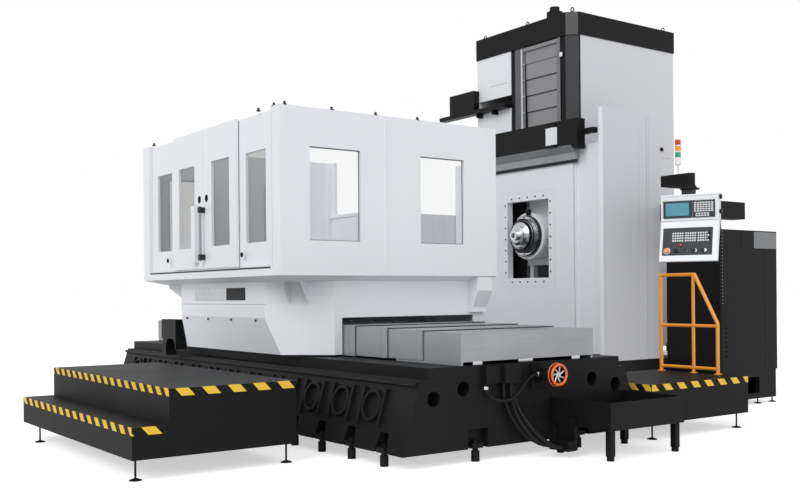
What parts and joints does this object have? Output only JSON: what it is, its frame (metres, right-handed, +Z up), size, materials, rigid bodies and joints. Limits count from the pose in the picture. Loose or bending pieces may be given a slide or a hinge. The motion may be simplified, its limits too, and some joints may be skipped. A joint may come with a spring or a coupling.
{
  "type": "horizontal boring and milling machine",
  "caption": "Table-type horizontal boring and milling machine: traversing rotary table in a splash enclosure, tower column with sliding spindle wall, pendant, cabinet, platforms.",
  "frame": {"origin": "centre of the machine's footprint on the floor", "axes": "+X along the table bed to the near end with the feed motor, +Y from the operator's doors to the column, +Z up"},
  "size_m": [7.675, 9.0629, 5.545],
  "materials": {
    "bed_black": "satin",
    "ways": "ground",
    "cover_steel": "brushed",
    "panel_white": "satin",
    "casting_grey": "painted",
    "table_iron": "ground",
    "clear_pane": "clear",
    "slat_grey": "satin",
    "spindle_steel": "ground",
    "rail_orange": "gloss",
    "hose_rubber": "matt",
    "button_orange": "gloss",
    "knob_black": "matt",
    "lamp_glass": "gloss"
  },
  "bodies": {
    "base": {"x_bed": "bed_black", "ways": "ways", "levelling_feet": "bed_black", "z_bed": "bed_black", "fixed_covers": "cover_steel", "side_guards": "panel_white", "cabinet": "bed_black", "cable_duct": "bed_black", "operator_platform": "bed_black", "service_platform": "bed_black", "railing": "rail_orange", "feed_motor": "bed_black", "terminal_box": "bed_black", "service_box": "bed_black", "hose_loop": "hose_rubber", "hose_a": "hose_rubber", "hose_b": "hose_rubber", "hose_c": "hose_rubber"},
    "table_slide": {"saddle": "casting_grey", "skirt": "panel_white", "skirt_brackets": "panel_white", "enclosure": "panel_white", "enclosure_panes": "clear_pane", "saddle_covers": "cover_steel", "carrier_box": "bed_black"},
    "rotary": {"rotary_table": "table_iron"},
    "left_door": {"door_left": "panel_white", "door_left_pane": "clear_pane"},
    "right_door": {"door_right": "panel_white", "door_right_pane": "clear_pane"},
    "near_section_a": {"near_cover_a": "cover_steel"},
    "near_section_b": {"near_cover_b": "cover_steel"},
    "far_section_a": {"far_cover_a": "cover_steel"},
    "far_section_b": {"far_cover_b": "cover_steel"},
    "column_slide": {"column": "casting_grey", "wall_strips": "panel_white", "tower_cover": "panel_white", "tower_band": "bed_black", "tower_posts": "bed_black", "lift_motor": "bed_black", "changer_tray": "bed_black", "column_cover": "cover_steel"},
    "column_section_a": {"column_cover_a": "cover_steel"},
    "column_section_b": {"column_cover_b": "cover_steel"},
    "head": {"headstock": "panel_white", "spindle_wall": "panel_white", "wiper_hood": "cover_steel", "cross_beam": "bed_black"},
    "slat_two": {"slat_2": "slat_grey"},
    "slat_three": {"slat_3": "slat_grey"},
    "slat_four": {"slat_4": "slat_grey"},
    "slat_five": {"slat_5": "slat_grey"},
    "spindle": {"spindle_flange": "spindle_steel"},
    "boring_quill": {"quill": "spindle_steel"},
    "arm": {"pendant_arm": "bed_black", "tower_light": "lamp_glass"},
    "control_pendant": {"pendant": "panel_white"},
    "stop": {"stop_button": "button_orange"},
    "knob": {"feed_knob": "knob_black"},
    "cabinet_leaf": {"cabinet_door": "bed_black"}
  },
  "joints": [
    {"name": "table_slide_x", "type": "slide", "parent": "base", "child": "table_slide", "axis": [1, 0, 0], "range_m": [-0.95, 0.95]},
    {"name": "rotary_turn", "type": "hinge", "parent": "table_slide", "child": "rotary", "pos_m": [-0.3825, -1.071, 1.56], "axis": [0, 0, 1], "continuous": true},
    {"name": "left_door_slide", "type": "slide", "parent": "table_slide", "child": "left_door", "axis": [-1, 0, 0], "range_m": [0, 0.752]},
    {"name": "right_door_slide", "type": "slide", "parent": "table_slide", "child": "right_door", "axis": [1, 0, 0], "range_m": [0, 0.752]},
    {"name": "near_section_a_slide", "type": "slide", "parent": "base", "child": "near_section_a", "axis": [1, 0, 0], "range_m": [-0.32, 0.32]},
    {"name": "near_section_b_slide", "type": "slide", "parent": "base", "child": "near_section_b", "axis": [1, 0, 0], "range_m": [-0.64, 0.64]},
    {"name": "far_section_a_slide", "type": "slide", "parent": "base", "child": "far_section_a", "axis": [1, 0, 0], "range_m": [-0.32, 0.32]},
    {"name": "far_section_b_slide", "type": "slide", "parent": "base", "child": "far_section_b", "axis": [1, 0, 0], "range_m": [-0.64, 0.64]},
    {"name": "column_slide_y", "type": "slide", "parent": "base", "child": "column_slide", "axis": [0, -1, 0], "range_m": [0, 1.2]},
    {"name": "column_section_a_slide", "type": "slide", "parent": "base", "child": "column_section_a", "axis": [0, -1, 0], "range_m": [0, 0.41]},
    {"name": "column_section_b_slide", "type": "slide", "parent": "base", "child": "column_section_b", "axis": [0, -1, 0], "range_m": [0, 0.81]},
    {"name": "head_slide_z", "type": "slide", "parent": "column_slide", "child": "head", "axis": [0, 0, 1], "range_m": [-0.2, 1.2]},
    {"name": "slat_two_slide", "type": "slide", "parent": "column_slide", "child": "slat_two", "axis": [0, 0, 1], "range_m": [-0.045, 0.245]},
    {"name": "slat_three_slide", "type": "slide", "parent": "column_slide", "child": "slat_three", "axis": [0, 0, 1], "range_m": [-0.085, 0.485]},
    {"name": "slat_four_slide", "type": "slide", "parent": "column_slide", "child": "slat_four", "axis": [0, 0, 1], "range_m": [-0.125, 0.725]},
    {"name": "slat_five_slide", "type": "slide", "parent": "column_slide", "child": "slat_five", "axis": [0, 0, 1], "range_m": [-0.165, 0.965]},
    {"name": "spindle_turn", "type": "hinge", "parent": "head", "child": "spindle", "pos_m": [-0.3825, 2.083, 2.296], "axis": [0, 1, 0], "continuous": true},
    {"name": "quill_feed", "type": "slide", "parent": "spindle", "child": "boring_quill", "axis": [0, -1, 0], "range_m": [0, 0.7]},
    {"name": "arm_swing", "type": "hinge", "parent": "base", "child": "arm", "pos_m": [2.0105, 2.549, 2.83], "axis": [0, 0, 1], "range_deg": [-60, 0]},
    {"name": "pendant_swing", "type": "hinge", "parent": "arm", "child": "control_pendant", "pos_m": [2.3275, 2.219, 2.68], "axis": [0, 0, 1], "range_deg": [-90, 90]},
    {"name": "stop_press", "type": "slide", "parent": "control_pendant", "child": "stop", "axis": [-0.4105, 0.8803, -0.2377], "range_m": [0, 0.006]},
    {"name": "feed_knob_turn", "type": "hinge", "parent": "control_pendant", "child": "knob", "pos_m": [2.37042, 1.90216, 1.97142], "axis": [0.4105, -0.8803, 0.2377], "range_deg": [-135, 135]},
    {"name": "cabinet_door_swing", "type": "hinge", "parent": "base", "child": "cabinet_leaf", "pos_m": [1.0785, 3.315, 1.37], "axis": [0, 0, -1], "range_deg": [0, 85]}
  ],
  "couplings": [
    {"joint": "near_section_a_slide", "follows": "table_slide_x", "ratio": 0.33333},
    {"joint": "near_section_b_slide", "follows": "table_slide_x", "ratio": 0.66667},
    {"joint": "far_section_a_slide", "follows": "table_slide_x", "ratio": 0.33333},
    {"joint": "far_section_b_slide", "follows": "table_slide_x", "ratio": 0.66667},
    {"joint": "column_section_a_slide", "follows": "column_slide_y", "ratio": 0.33333},
    {"joint": "column_section_b_slide", "follows": "column_slide_y", "ratio": 0.66667},
    {"joint": "slat_two_slide", "follows": "head_slide_z", "ratio": 0.2},
    {"joint": "slat_three_slide", "follows": "head_slide_z", "ratio": 0.4},
    {"joint": "slat_four_slide", "follows": "head_slide_z", "ratio": 0.6},
    {"joint": "slat_five_slide", "follows": "head_slide_z", "ratio": 0.8}
  ]
}
